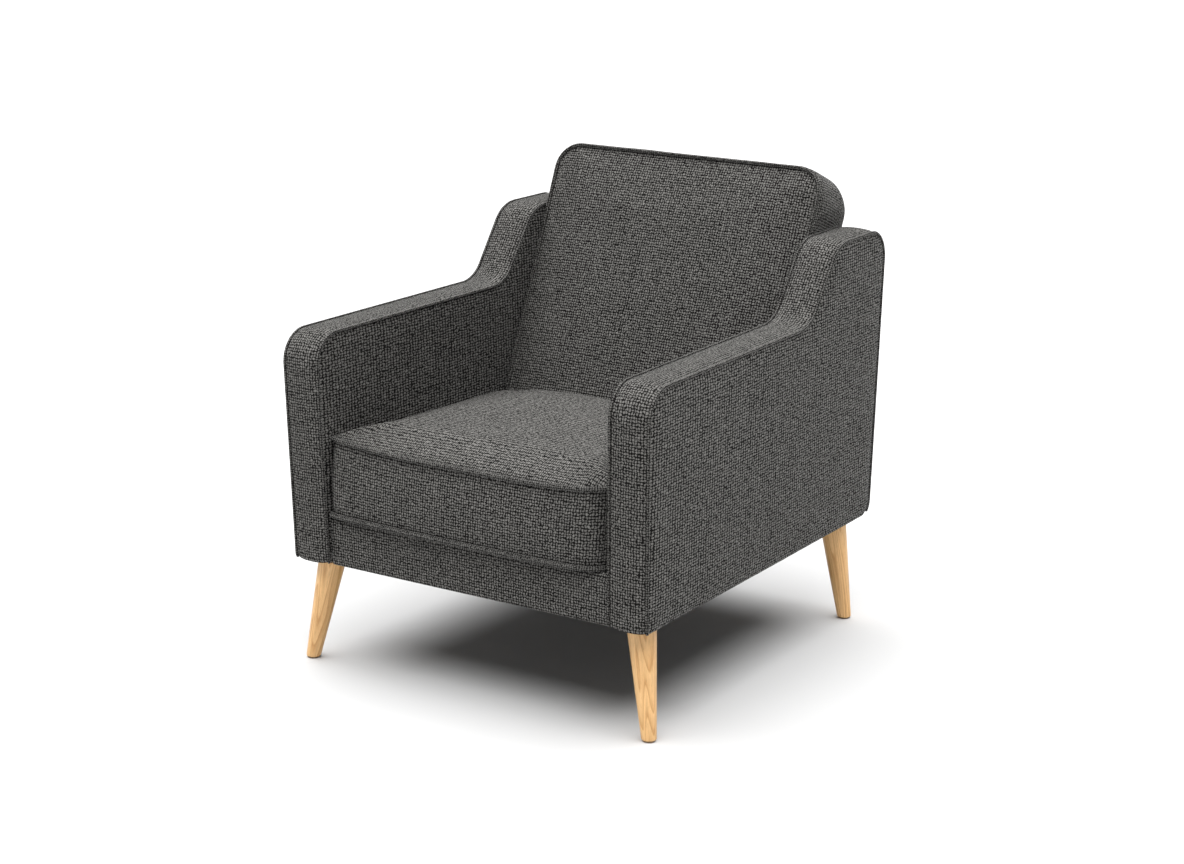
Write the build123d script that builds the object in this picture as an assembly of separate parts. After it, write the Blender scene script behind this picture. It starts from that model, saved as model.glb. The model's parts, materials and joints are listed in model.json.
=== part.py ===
from build123d import *
import os
from math import atan2, degrees

# Upholstered armchair with low arms that rise into short wings, a loose seat cushion, a
# reclined back and four splayed wooden legs.
# Frame: +Z up, the front faces -Y, +X is the right-hand side as seen from the front.
# The origin is on the floor, under the middle of the chair's box. Lengths are millimetres.

# ---------------------------------------------------------------- driving dimensions
SKIN = 2  # fabric with its backing
FIT_GAP = 0.5  # air between parts that sit between the arms and the arms themselves

# Arms: each is a slab with two flat sides, turned a little outwards and a little toed in.
ARM_THICKNESS = 76
ARM_FLARE = 1.14  # degrees, outwards going up
ARM_TOE_IN = 1.3  # degrees, inwards going back
ARM_PIVOT = (370, -398, 486)  # point of the outer side that both small angles turn about
BODY_BOTTOM = 190
ARM_OUTLINE_DROP = 3  # the outline runs this far under the body, and is then cut level
ARM_FRONT_LOW, ARM_FRONT_HIGH = -397, -406
ARM_TOP = 595
WING_START, WING_CREST = 129, 223  # where the arm leaves the level, and where the wing tops out
WING_TOP = 724
ARM_REAR_LOW, ARM_REAR_HIGH = 393, 409
TOE_R, FRONT_CORNER_R, HOLLOW_R, CREST_R, REAR_CORNER_R, HEEL_R = 6, 55, 68, 70, 58, 28
ARM_BASE_SPAN = (-383, 369)  # where the band's foam and timber stop, front and rear
STRIP_END = 60  # height above the body's bottom at which the band and the pipings end
ARM_PIPING = 5
BAND_FOAM = 12
BOARD = 12
INNER_FOAM = 16
POST_WIDTH = 40
BASE_RAIL_HEIGHT = 50
BAND_DEPTH = SKIN + BAND_FOAM
TIMBER_OUTER = SKIN + BOARD
TIMBER_INNER = ARM_THICKNESS - SKIN - INNER_FOAM
BASE_RAIL_TOP = BODY_BOTTOM + BASE_RAIL_HEIGHT

# Seat frame between the arms
FRAME_TOP = 262
RAIL = 24
FRONT_RAIL_FACE = -386
REAR_RAIL_FACE = 387
SPRING_RAIL_FRONT = 62
SIDE_RAIL_INNER = 240  # from the middle to the inner face of a side rail
CORNER_BLOCK_SIDE, CORNER_BLOCK_HEIGHT, CORNER_BLOCK_LIFT = 55, 50, 12
FELT = 7
DECK_TOP = 275.5
DECK_REAR = 50
RAIL_COVER_REAR = -340  # where the rail's cover ends and the deck cloth starts
DUST_COVER_FRONT, DUST_COVER_REAR = -380, 374
DUST_COVER_HALF_FRONT, DUST_COVER_HALF_REAR = 352, 336
DUST_COVER_THICKNESS, DUST_COVER_GAP = 1.2, 1.5  # the gap is round each leg

# Springs: flat zigzags of round wire
SPRING_X = (-200, -100, 0, 100, 200)
SPRING_WIRE = 3.6
SPRING_WIDTH = 50
SPRING_PITCH = 27.5
SPRING_BEND = 0.47  # radius of a bend, as a share of the step between bars
SPRING_HEIGHT = FRAME_TOP + SPRING_WIRE / 2 + FIT_GAP
SPRING_START = FRONT_RAIL_FACE + RAIL / 2
SPRING_RUN = SPRING_RAIL_FRONT + RAIL / 2 - SPRING_START
SPRING_ROWS = round(SPRING_RUN / SPRING_PITCH) + 1
SPRING_STEP = SPRING_RUN / (SPRING_ROWS - 1)
CLIP_SIZE = (22, 12, 4.5)
CLIP_BORE_GAP = 0.15

# Seat cushion
SEAT_BOTTOM = 276
SEAT_HALF_WIDTH = 289
SEAT_CORNER_R = 40
SEAT_FRONT = -393  # front of the foam
SEAT_TOP_FRONT, SEAT_TOP_REAR = 428, 404  # height of the top, above the foam's front and at the back
SEAT_REAR = 104
SEAT_PIPING_DROP = 18  # from the top down to the upper piping
TOP_PIPING_HEIGHT, BOTTOM_PIPING_HEIGHT = 8, 9
TOP_PIPING_LIP, BOTTOM_PIPING_LIP = 5, 15  # how far each piping stands in front of the foam
SEAT_SIDE_PIPING = 5
SEAT_ARM_GAP, SEAT_BACK_GAP = 1, 1.5  # between the cushion's widest line and the arms or the back
ZIP_HALF_LENGTH, ZIP_HALF_WIDTH, ZIP_MIDDLE = 210, 11, 345

# Back: a reclined slab, modelled upright with its top front edge at the origin, then placed
BACK_RECLINE = 24  # degrees from upright
BACK_EDGE = (0, 306.3, 835.8)
BACK_THICKNESS = 126
BACK_HALF_WIDTH = 290
BACK_TOP_R = 50
BACK_REAR_R = 55
BACK_PIPING = 6
BACK_FOAM_DEPTH = 82
BACK_CAP = 90  # how far the foam reaches down behind the top edge
BACK_POST = (236, 276)  # inner and outer side of a post, from the middle
BACK_POST_DEPTH = 38
BACK_RAIL_HEIGHT = 40
BACK_LOWER_RAIL = 565  # distance down the back to the lower rail's middle
BACK_BOTTOM = 279
STRAP_WIDTH, STRAP_PITCH, STRAP_COUNT = 50, 95, 5
STRAP_END = 6  # how far a strap ends inside a post's outer side
STRAP_DROP = 45  # from the foam's cap down to the middle of the top strap
PANEL_TOP = 709  # top of the outside back, between the wings
PANEL_ROLL_R = 24  # where its top edge rolls forward
PANEL_INSET = 3  # in front of the arms' rear edges
PANEL_LAP = 5  # how far it laps over the boxing's lower edge

# Legs
LEG_TOP_R, LEG_TOE_R = 25, 12.5
LEG_TOP_CENTRES = {"front": (321, -346), "rear": (299, 337)}
LEG_TOE_CENTRES = {"front": (353, -371), "rear": (331, 335)}
GLIDE_HEIGHT, GLIDE_R = 3, 10
BOLT_R = 4
BOLT_IN_LEG, BOLT_IN_RAIL = 25, 38
TOE_FILLET, GLIDE_CHAMFER = 1.5, 0.8

FAR = 2000  # larger than the chair, for cutting
OVERRUN = 12  # spare length or depth that a later cut takes off
OVERSIZE = 50  # how far a cutting body stands outside the seat cushion
SIDES = ("left", "right")

arm_place = Pos(*ARM_PIVOT) * Rot(0, ARM_FLARE, ARM_TOE_IN) * Pos(0, -ARM_PIVOT[1], -ARM_PIVOT[2])
back_place = Pos(*BACK_EDGE) * Rot(-BACK_RECLINE, 0, 0)


# ---------------------------------------------------------------- shared shapes
def block(x, y, z):
    """Box between two limits on each axis."""
    size = [b - a for a, b in (x, y, z)]
    middle = [(a + b) / 2 for a, b in (x, y, z)]
    return Pos(*middle) * Box(*size)


def above(z):
    return block((-FAR, FAR), (-FAR, FAR), (z, z + FAR))


def left_copy(shape):
    return mirror(shape, about=Plane.YZ)


def on_side(shape, side):
    """The right-hand shape, or its mirror image on the left."""
    return shape if side == "right" else left_copy(shape)


def between_arms(clearance):
    """All the space between the inner sides of the arms, less a clearance."""
    inner = -ARM_THICKNESS - clearance
    half = arm_place * block((inner - FAR / 2, inner), (-FAR, FAR), (-FAR, FAR))
    return half & left_copy(half)


# ---------------------------------------------------------------- arms
def arm_outline(inset):
    """Side view of an arm, drawn in by an inset: front, level arm, rising wing and rear."""
    low = BODY_BOTTOM - ARM_OUTLINE_DROP
    corners = {
        (ARM_FRONT_LOW, low): TOE_R,
        (ARM_FRONT_HIGH, ARM_TOP): FRONT_CORNER_R,
        (WING_START, ARM_TOP): HOLLOW_R,
        (WING_CREST, WING_TOP): CREST_R,
        (ARM_REAR_HIGH, WING_TOP): REAR_CORNER_R,
        (ARM_REAR_LOW, low): HEEL_R,
    }
    outline = make_face(FilletPolyline(*corners, radius=list(corners.values()), close=True))
    return offset(outline, -inset) if inset else outline


def arm_slice(inset, outer, inner):
    """Slab with the arm's outline, between two depths from the outer side."""
    return Pos(-inner, 0, 0) * extrude(Plane.YZ * arm_outline(inset), inner - outer)


def arm_strip(outer_inset, inner_inset, outer, inner):
    """Strip that follows the outline up the front, over the top and down the rear."""
    hole = arm_slice(inner_inset, outer - OVERRUN, inner + OVERRUN)
    ring = arm_slice(outer_inset, outer, inner) - hole
    return ring - block((-FAR, FAR), ARM_BASE_SPAN, (0, BODY_BOTTOM + STRIP_END))


def arm_timber(y, z):
    """Piece of the arm's frame, cut to the outline inside the foam."""
    return arm_slice(BAND_DEPTH, TIMBER_OUTER, TIMBER_INNER) & block((-FAR, FAR), y, z)


def arm_parts():
    """The right arm in its own upright frame, with the outer side at x = 0."""
    band = (ARM_PIPING, ARM_THICKNESS - ARM_PIPING)
    front_post_rear = ARM_BASE_SPAN[0] + POST_WIDTH
    rear_post_front = ARM_BASE_SPAN[1] - POST_WIDTH
    rail_top = ARM_TOP - BAND_DEPTH
    base_rail = block(
        (SKIN - ARM_THICKNESS, -TIMBER_OUTER),
        (ARM_BASE_SPAN[0] + FIT_GAP, ARM_BASE_SPAN[1] - FIT_GAP),
        (BODY_BOTTOM - OVERRUN, BASE_RAIL_TOP),
    )
    inner_foam = arm_slice(BAND_DEPTH, TIMBER_INNER, ARM_THICKNESS - SKIN)
    return {
        "outer_cover": arm_slice(ARM_PIPING, 0, SKIN),
        "inner_cover": arm_slice(ARM_PIPING, ARM_THICKNESS - SKIN, ARM_THICKNESS),
        "band_cover": arm_strip(0, SKIN, *band),
        "outer_piping": arm_strip(0, ARM_PIPING, 0, ARM_PIPING),
        "inner_piping": arm_strip(0, ARM_PIPING, band[1], ARM_THICKNESS),
        "band_foam": arm_strip(SKIN, BAND_DEPTH, *band),
        "inner_foam": inner_foam & above(BASE_RAIL_TOP + SKIN),
        "board": arm_slice(BAND_DEPTH, SKIN, TIMBER_OUTER),
        "front_post": arm_timber((-FAR, front_post_rear), (BASE_RAIL_TOP, FAR)),
        "rear_post": arm_timber((rear_post_front, FAR), (BASE_RAIL_TOP, FAR)),
        "top_rail": arm_timber((front_post_rear, rear_post_front), (rail_top - POST_WIDTH, rail_top)),
        "base_rail": base_rail,
    }


# ---------------------------------------------------------------- legs
def leg_axis(end):
    """Toe point on the floor and top point under the arm, for a front or a rear right leg."""
    return Vector(*LEG_TOE_CENTRES[end], 0), Vector(*LEG_TOP_CENTRES[end], BODY_BOTTOM)


def leg_cone(end, extra=0):
    """Tapered round leg, cut level at both ends; extra widens it all round."""
    toe, top = leg_axis(end)
    length = (top - toe).length
    slope = (LEG_TOP_R - LEG_TOE_R) / length
    base = toe - (top - toe).normalized() * OVERRUN
    cone = Solid.make_cone(
        LEG_TOE_R - slope * OVERRUN + extra,
        LEG_TOP_R + slope * OVERRUN + extra,
        length + 2 * OVERRUN,
        Plane(base, z_dir=top - toe),
    )
    return Part() + cone & block((-FAR, FAR), (-FAR, FAR), (GLIDE_HEIGHT, BODY_BOTTOM))


def leg_bolt(end):
    """Hanger bolt on the leg's axis, half in the leg and half in the arm's base rail."""
    toe, top = leg_axis(end)
    along = (top - toe).normalized()
    low = top - along * BOLT_IN_LEG
    return Part() + Solid.make_cylinder(BOLT_R, BOLT_IN_LEG + BOLT_IN_RAIL, Plane(low, z_dir=along))


def leg(end):
    body = leg_cone(end) - leg_bolt(end)
    toe_edge = body.edges().group_by(Axis.Z)[0]
    return fillet(toe_edge, TOE_FILLET)


def glide(end):
    toe, _ = leg_axis(end)
    disc = Pos(toe.X, toe.Y, GLIDE_HEIGHT / 2) * Cylinder(GLIDE_R, GLIDE_HEIGHT)
    return chamfer(disc.edges().group_by(Axis.Z)[0], GLIDE_CHAMFER)


def four(make):
    """A front and a rear piece on both sides, as separate solids."""
    right = [make(end) for end in ("front", "rear")]
    return Part() + right + [left_copy(piece) for piece in right]


# ---------------------------------------------------------------- seat frame and springs
def rail_span(x, y, z):
    return block(x, y, z) & between_arms(FIT_GAP)


def seat_frame():
    height = (BODY_BOTTOM, FRAME_TOP)
    inner_front = FRONT_RAIL_FACE + RAIL
    inner_rear = REAR_RAIL_FACE - RAIL
    side = rail_span((SIDE_RAIL_INNER, FAR), (inner_front, inner_rear), height)
    across = (-SIDE_RAIL_INNER, SIDE_RAIL_INNER)
    return {
        "front_seat_rail": rail_span((-FAR, FAR), (FRONT_RAIL_FACE, inner_front), height),
        "rear_seat_rail": rail_span((-FAR, FAR), (inner_rear, REAR_RAIL_FACE), height),
        "right_seat_rail": side,
        "left_seat_rail": left_copy(side),
        "spring_rail": block(across, (SPRING_RAIL_FRONT, SPRING_RAIL_FRONT + RAIL), height),
        "corner_blocks": corner_blocks(inner_front, inner_rear),
    }


def corner_blocks(inner_front, inner_rear):
    """Glued triangular blocks in the corners of the seat frame."""
    blocks = []
    for y, inwards in ((inner_front, 1), (inner_rear, -1)):
        corner = [
            (SIDE_RAIL_INNER, y),
            (SIDE_RAIL_INNER - CORNER_BLOCK_SIDE, y),
            (SIDE_RAIL_INNER, y + inwards * CORNER_BLOCK_SIDE),
        ]
        prism = extrude(make_face(Polyline(*corner, close=True)), CORNER_BLOCK_HEIGHT)
        blocks.append(Pos(0, 0, BODY_BOTTOM + CORNER_BLOCK_LIFT) * prism)
    return Part() + blocks + [left_copy(piece) for piece in blocks]


def spring(x):
    """Zigzag spring along Y: bars across, joined by tight bends at alternate ends."""
    points = []
    for row in range(SPRING_ROWS):
        y = SPRING_START + row * SPRING_STEP
        ends = (x - SPRING_WIDTH / 2, x + SPRING_WIDTH / 2)
        points += [(end, y, SPRING_HEIGHT) for end in (ends if row % 2 == 0 else ends[::-1])]
    path = FilletPolyline(*points, radius=SPRING_BEND * SPRING_STEP)
    start = Plane(points[0], z_dir=Vector(1, 0, 0))
    return sweep(start * Circle(SPRING_WIRE / 2), path=path)


def spring_clips():
    """Steel clips that hold the end bars down on the rails."""
    clip = Box(*CLIP_SIZE)
    wire = Rot(0, 90, 0) * Cylinder(SPRING_WIRE / 2 + CLIP_BORE_GAP, 2 * CLIP_SIZE[0])
    rows = (SPRING_START, SPRING_START + SPRING_RUN)
    lift = FRAME_TOP + CLIP_SIZE[2] / 2
    clips = [Pos(x, y, lift) * clip - Pos(x, y, SPRING_HEIGHT) * wire for x in SPRING_X for y in rows]
    return Part() + clips


def seat_deck():
    felt_top = DECK_TOP - SKIN
    felt = (felt_top - FELT, felt_top)
    wide = (-FAR, FAR)
    front = (FRONT_RAIL_FACE - SKIN, FRONT_RAIL_FACE)
    front_face = rail_span(wide, front, (BODY_BOTTOM, DECK_TOP))
    top_flap = rail_span(wide, (FRONT_RAIL_FACE, RAIL_COVER_REAR), (felt_top, DECK_TOP))
    return {
        "seat_springs": Part() + [spring(x) for x in SPRING_X],
        "spring_clips": spring_clips(),
        "spring_felt": rail_span(wide, (FRONT_RAIL_FACE, DECK_REAR), felt),
        "deck_cloth": rail_span(wide, (RAIL_COVER_REAR, DECK_REAR), (felt_top, DECK_TOP)),
        "front_rail_cover": front_face + top_flap,
        "dust_cover": dust_cover(),
    }


def dust_cover():
    """Thin cloth under the whole frame, with a hole round each leg."""
    front, rear = DUST_COVER_HALF_FRONT, DUST_COVER_HALF_REAR
    corners = [
        (front, DUST_COVER_FRONT),
        (rear, DUST_COVER_REAR),
        (-rear, DUST_COVER_REAR),
        (-front, DUST_COVER_FRONT),
    ]
    outline = make_face(Polyline(*corners, close=True))
    cloth = Pos(0, 0, BODY_BOTTOM - DUST_COVER_THICKNESS) * extrude(outline, DUST_COVER_THICKNESS)
    return cloth - four(lambda end: leg_cone(end, extra=DUST_COVER_GAP))


# ---------------------------------------------------------------- seat cushion
def seat_block(lip, side_inset, low, drop):
    """Body of the cushion: rounded front corners, tilted top, and a rear that follows the back.

    lip is how far it stands in front of the foam, side_inset how far inside the widest line,
    low its underside, and drop how far its top lies under the cushion's top.
    """
    half = SEAT_HALF_WIDTH - side_inset
    front = SEAT_FRONT - lip
    corners = [(-half, FAR / 4), (-half, front), (half, front), (half, FAR / 4)]
    radius = SEAT_CORNER_R - side_inset
    plan = make_face(FilletPolyline(*corners, radius=[0, radius, radius, 0], close=True))
    prism = Pos(0, 0, low) * extrude(plan, FAR)
    tilt = degrees(atan2(SEAT_TOP_REAR - SEAT_TOP_FRONT, SEAT_REAR - SEAT_FRONT))
    under_top = Pos(0, SEAT_FRONT, SEAT_TOP_FRONT - drop) * Rot(tilt, 0, 0)
    under_top *= block((-FAR, FAR), (-FAR, FAR), (-FAR, 0))
    rear = -SEAT_BACK_GAP - side_inset
    before_back = back_place * block((-FAR, FAR), (-FAR, rear), (-FAR, FAR))
    return prism & under_top & before_back & between_arms(SEAT_ARM_GAP + side_inset)


def level_slice(low, high):
    """All the space between two heights."""
    return block((-FAR, FAR), (-FAR, FAR), (low, high))


def seat_cushion():
    inside = SEAT_SIDE_PIPING
    outside = inside - SKIN
    piping_low = SEAT_PIPING_DROP + TOP_PIPING_HEIGHT
    boxing_low = SEAT_BOTTOM + BOTTOM_PIPING_HEIGHT
    core = seat_block(0, inside, 0, -OVERSIZE)
    foam = seat_block(0, inside, SEAT_BOTTOM + SKIN, SKIN)
    zip_tape = seat_zip(core)
    top_piping = seat_block(TOP_PIPING_LIP, 0, boxing_low, SEAT_PIPING_DROP)
    bottom_piping = seat_block(BOTTOM_PIPING_LIP, 0, SEAT_BOTTOM, SEAT_PIPING_DROP)
    above_piping = seat_block(OVERSIZE, -OVERSIZE, 0, SEAT_PIPING_DROP)
    above_boxing = seat_block(OVERSIZE, -OVERSIZE, 0, piping_low)
    return {
        "seat_foam": foam,
        "seat_bottom_panel": core & level_slice(SEAT_BOTTOM, SEAT_BOTTOM + SKIN),
        "seat_boxing": seat_block(SKIN, outside, boxing_low, piping_low) - core - zip_tape,
        "seat_zip": zip_tape,
        "seat_top_piping": top_piping - above_boxing - core,
        "seat_bottom_piping": (bottom_piping & level_slice(SEAT_BOTTOM, boxing_low)) - core,
        "seat_top_panel": seat_block(SKIN, outside, boxing_low, 0) - above_piping - foam,
    }


def seat_zip(core):
    """Zip tape let into the rear of the boxing, at mid height."""
    height = (ZIP_MIDDLE - ZIP_HALF_WIDTH, ZIP_MIDDLE + ZIP_HALF_WIDTH)
    strip = block((-ZIP_HALF_LENGTH, ZIP_HALF_LENGTH), (0, FAR), height)
    return strip & seat_block(SKIN, SEAT_SIDE_PIPING - SKIN, SEAT_BOTTOM, 0) - core


# ---------------------------------------------------------------- back
def back_block(inset, near, far):
    """Slice of the back between two depths, drawn in by an inset at its edges, in place."""
    width = BACK_HALF_WIDTH - inset
    corners = [(-width, -FAR / 2), (-width, -inset), (width, -inset), (width, -FAR / 2)]
    radius = BACK_TOP_R - inset
    face = make_face(FilletPolyline(*corners, radius=[0, radius, radius, 0], close=True))
    front_view = Pos(0, near, 0) * extrude(Plane.XZ * face, near - far)
    deep = BACK_THICKNESS - inset
    front = -OVERRUN
    profile = [(front, -FAR / 2), (front, -inset), (deep, -inset), (deep, -FAR / 2)]
    side = make_face(FilletPolyline(*profile, radius=[0, 0, BACK_REAR_R - inset, 0], close=True))
    side_view = Pos(-FAR / 2, 0, 0) * extrude(Plane.YZ * side, FAR)
    return back_place * (front_view & side_view) & between_arms(FIT_GAP + inset) & above(BACK_BOTTOM)


def back_frame():
    """Two posts that stand on the side rails, joined by rails and crossed by webbing."""
    depth = (BACK_FOAM_DEPTH + SKIN, BACK_FOAM_DEPTH + SKIN + BACK_POST_DEPTH)
    tall = block(BACK_POST, depth, (-FAR / 2, -BACK_CAP - SKIN))
    post = back_place * tall & above(FRAME_TOP)
    top = -BACK_CAP - SKIN
    between = (-BACK_POST[0], BACK_POST[0])
    half = BACK_RAIL_HEIGHT / 2
    straps = []
    for number in range(STRAP_COUNT):
        middle = -BACK_CAP - STRAP_DROP - number * STRAP_PITCH
        strap = block(
            (STRAP_END - BACK_POST[1], BACK_POST[1] - STRAP_END),
            (BACK_FOAM_DEPTH, BACK_FOAM_DEPTH + SKIN),
            (middle - STRAP_WIDTH / 2, middle + STRAP_WIDTH / 2),
        )
        straps.append(back_place * strap)
    return {
        "right_back_post": post,
        "left_back_post": left_copy(post),
        "back_top_rail": back_place * block(between, depth, (top - BACK_RAIL_HEIGHT, top)),
        "back_lower_rail": back_place
        * block(between, depth, (-BACK_LOWER_RAIL - half, -BACK_LOWER_RAIL + half)),
        "back_webbing": Part() + straps,
    }


def back_upholstery():
    rear_skin = BACK_THICKNESS - SKIN
    piping = back_block(0, 0, BACK_PIPING) - back_block(BACK_PIPING, -OVERRUN, BACK_PIPING + OVERRUN)
    cap = back_block(SKIN, BACK_FOAM_DEPTH, rear_skin)
    cap &= back_place * block((-FAR, FAR), (-FAR, FAR), (-BACK_CAP, FAR))
    foam = back_block(BACK_PIPING, SKIN, BACK_PIPING) + back_block(SKIN, BACK_PIPING, BACK_FOAM_DEPTH)
    boxing = back_block(0, BACK_PIPING, BACK_THICKNESS) - back_block(SKIN, 0, rear_skin)
    hidden = back_place * block((-FAR, FAR), (BACK_FOAM_DEPTH, FAR), (-FAR, FAR))
    return {
        "back_foam": foam + cap,
        "back_front_panel": back_block(BACK_PIPING, 0, SKIN),
        "back_piping": piping,
        "back_boxing": boxing - (hidden - above(PANEL_TOP - PANEL_LAP)),
        "outside_back_panel": outside_back(),
    }


def outside_back():
    """Cloth across the rear between the arms, rolled forward at the top to meet the back."""
    rear_low, rear_high = ARM_REAR_LOW - PANEL_INSET, ARM_REAR_HIGH - PANEL_INSET
    region = [
        (0, BODY_BOTTOM),
        (rear_low, BODY_BOTTOM),
        (rear_high, PANEL_TOP),
        (0, PANEL_TOP),
    ]
    outer = make_face(FilletPolyline(*region, radius=[0, 0, PANEL_ROLL_R, 0], close=True))
    skin = outer - Pos(-SKIN, -SKIN) * outer
    sheet = Pos(-FAR / 2, 0, 0) * extrude(Plane.YZ * skin, FAR)
    rear = BACK_THICKNESS + FIT_GAP
    behind_back = back_place * block((-FAR, FAR), (rear, FAR), (-FAR, FAR))
    return sheet & behind_back & above(BODY_BOTTOM) & between_arms(FIT_GAP)


# ---------------------------------------------------------------- everything
def all_parts():
    parts = {}
    bolts = four(leg_bolt)
    for name, shape in arm_parts().items():
        placed = arm_place * shape & above(BODY_BOTTOM)
        for side in SIDES:
            solid = on_side(placed, side)
            parts[f"{side}_arm_{name}"] = solid - bolts if name == "base_rail" else solid
    for side in SIDES:
        for end in ("front", "rear"):
            parts[f"{end}_{side}_leg"] = on_side(leg(end), side)
    parts["leg_bolts"] = bolts
    parts["leg_glides"] = four(glide)
    for group in (seat_frame, seat_deck, seat_cushion, back_frame, back_upholstery):
        parts.update(group())
    return parts


os.makedirs("parts", exist_ok=True)
for node, shape in all_parts().items():
    export_step(shape, f"parts/{node}.step")
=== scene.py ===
import json
import math

import bmesh
import bpy
import numpy as np
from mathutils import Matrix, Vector, noise
from mathutils.kdtree import KDTree


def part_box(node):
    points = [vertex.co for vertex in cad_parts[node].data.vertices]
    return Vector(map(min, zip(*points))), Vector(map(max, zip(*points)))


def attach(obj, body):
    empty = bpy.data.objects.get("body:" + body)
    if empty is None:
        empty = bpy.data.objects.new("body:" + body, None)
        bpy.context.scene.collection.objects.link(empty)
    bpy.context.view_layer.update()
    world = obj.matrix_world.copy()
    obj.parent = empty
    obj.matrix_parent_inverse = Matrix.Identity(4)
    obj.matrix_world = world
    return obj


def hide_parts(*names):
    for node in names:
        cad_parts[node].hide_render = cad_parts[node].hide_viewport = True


# Looks of the upholstered armchair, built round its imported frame. Lengths are metres.
# The front faces -Y, +Z is up, and right means +X.

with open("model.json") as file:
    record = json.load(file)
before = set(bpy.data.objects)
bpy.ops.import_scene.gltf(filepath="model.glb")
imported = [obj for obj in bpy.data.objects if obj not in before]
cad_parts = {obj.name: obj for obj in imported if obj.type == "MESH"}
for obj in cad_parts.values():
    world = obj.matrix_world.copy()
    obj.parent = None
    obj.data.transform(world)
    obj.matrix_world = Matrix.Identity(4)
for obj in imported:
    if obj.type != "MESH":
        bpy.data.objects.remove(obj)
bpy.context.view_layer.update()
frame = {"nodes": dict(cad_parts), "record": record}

# ------------ sizes
ARM_PIVOT = Vector((0.370, -0.398, 0.486))  # point of the outer side that the arm's two angles turn about
ARM_FLARE, ARM_TOE_IN = math.radians(1.14), math.radians(1.3)
ARM_THICKNESS = 0.076
BODY_BOTTOM = 0.190
ARM_CORNERS = (  # outline of an arm's outer side, as y and z, from the bottom of its front
    (-0.397, 0.187),
    (-0.406, 0.595),
    (0.129, 0.595),
    (0.223, 0.724),
    (0.409, 0.724),
    (0.393, 0.187),
)
ARM_RADII = (0.010, 0.055, 0.068, 0.070, 0.055, 0.028)
ARM_UNDERSIDE = BODY_BOTTOM - 0.0014
BACK_RECLINE = math.radians(24)
BACK_EDGE = Vector((0, 0.3063, 0.8358))
BACK_THICKNESS = 0.126
DECK_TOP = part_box("deck_cloth")[1].z
SIDES = {"left": -1, "right": 1}

SEAM_HELD = 0.0006  # a cover's points this near a seam are stitched down
SETTLE_FRAMES, SETTLE_PRESSURE, SETTLE_CAP = 20, 4.0, 0.006
SEAM_INSET = 0.0028  # how far a seam lies inside the corner it finishes
LONG_WAY, SEAT_LONG_WAY = 0.64, 0.54  # the weave's floats are longer front to back than across
SEAT_ACROSS = 1.25  # and on the seat they are narrower
ARM_PIPING_R = 0.0029
SEAT_PIPING_R = 0.0046
BACK_PIPING_R = 0.0034
CLEAR = 0.0012  # air between a cushion and an arm


# ------------ paths and grids
def unit(vectors):
    return vectors / np.maximum(np.linalg.norm(vectors, axis=-1, keepdims=True), 1e-12)


def rounded_corner(before, corner, after, radius, count=24):
    """Points along the arc that rounds a corner."""
    before, corner, after = (np.array(p, float) for p in (before, corner, after))
    way_in, way_out = unit(corner - before), unit(after - corner)
    turn = math.acos(np.clip(way_in @ way_out, -1, 1))
    tangent = radius * math.tan(turn / 2)
    middle = unit(way_out - way_in)
    centre = corner + middle * radius / math.cos(turn / 2)
    start, end = corner - way_in * tangent - centre, corner + way_out * tangent - centre
    share = np.linspace(0, 1, count)[:, None]
    return centre + (np.sin((1 - share) * turn) * start + np.sin(share * turn) * end) / math.sin(turn)


def rounded_outline(corners, radii):
    """Closed outline with rounded corners, and the index of each corner's middle point."""
    points, middles = [], []
    for i, (corner, radius) in enumerate(zip(corners, radii)):
        arc = rounded_corner(corners[i - 1], corner, corners[(i + 1) % len(corners)], radius)
        middles.append(len(points) + len(arc) // 2)
        points.extend(arc)
    return np.array(points), middles


def along(path):
    """Distance of each point from the start of its path."""
    steps = np.linalg.norm(np.diff(path, axis=0), axis=1)
    return np.concatenate([[0], np.cumsum(steps)])


def resample(path, count):
    """The same path with evenly spaced points."""
    path = np.asarray(path, float)
    distance = along(path)
    wanted = np.linspace(0, distance[-1], count)
    return np.stack([np.interp(wanted, distance, path[:, k]) for k in range(path.shape[1])], 1)


def sections(outline, cuts, counts):
    """Stretches of a closed outline from each cut to the next, with the wanted numbers of points."""
    found = []
    for i, (cut, count) in enumerate(zip(cuts, counts)):
        end = cuts[(i + 1) % len(cuts)]
        stretch = outline[cut : end + 1] if end > cut else np.vstack([outline[cut:], outline[: end + 1]])
        found.append(resample(stretch, count))
    return found


def net(first, second):
    """Pairs of a value from each list, as a grid."""
    return np.stack(np.meshgrid(first, second, indexing="ij"), -1)


def coons(south, north, west, east):
    """Grid between four edges: south and north run the same way, and so do west and east."""
    u = np.linspace(0, 1, len(south))[:, None, None]
    v = np.linspace(0, 1, len(west))[None, :, None]
    ruled = (1 - v) * south[:, None] + v * north[:, None] + (1 - u) * west[None] + u * east[None]
    corners = (1 - u) * ((1 - v) * south[0] + v * north[0]) + u * ((1 - v) * south[-1] + v * north[-1])
    return ruled - corners


def distance_to(points, line):
    """Distance from each point to the nearest point of a densely sampled line."""
    tree = KDTree(len(line))
    for i, p in enumerate(line):
        tree.insert(Vector((*p, 0)[:3]), i)
    tree.balance()
    flat = points.reshape(-1, points.shape[-1])
    found = [tree.find(Vector((*p, 0)[:3]))[2] for p in flat]
    return np.array(found).reshape(points.shape[:-1])


def swell(distance, height, reach):
    """Padding that rises from a seam: nothing on it, almost the full height a few reaches away."""
    return height * (1 - np.exp(-np.maximum(distance, 0) / reach))


def wander(points, size, seed):
    """Smooth noise between -1 and 1, at each point, with features of about that size."""
    flat = points.reshape(-1, 3) / size + seed
    values = [noise.noise(Vector(p)) for p in flat]
    return np.array(values).reshape(points.shape[:-1])


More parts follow.
